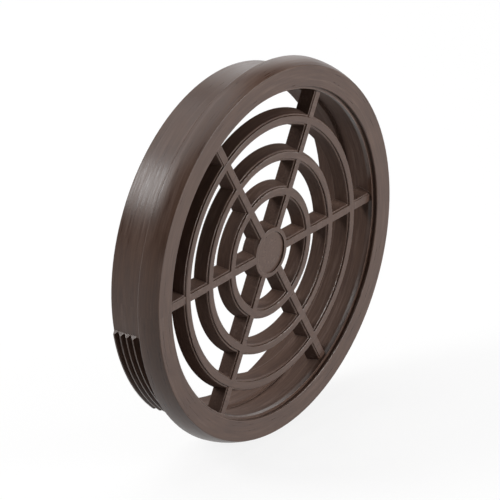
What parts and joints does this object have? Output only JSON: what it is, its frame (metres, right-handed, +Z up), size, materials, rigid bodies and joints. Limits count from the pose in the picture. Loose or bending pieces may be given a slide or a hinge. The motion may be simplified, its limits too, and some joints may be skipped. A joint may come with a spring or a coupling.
{
  "type": "round vent cap",
  "caption": "Round push-in vent cap: a flanged grille of concentric rings and spokes round a hub, with a short collar that has patches of grip ribs, moulded in one piece.",
  "frame": {"origin": "on the collar's axis, at the back of the flange, which lies against the wall", "axes": "+Y along the collar's axis into the wall, -Y out of the grille's face, +Z up, with one pair of spokes level along X"},
  "size_m": [0.1074, 0.0182, 0.1074],
  "materials": {
    "moulded_plastic": "satin brown, moulded in colour"
  },
  "bodies": {
    "root": {"vent_cap": "moulded_plastic"}
  },
  "joints": []
}
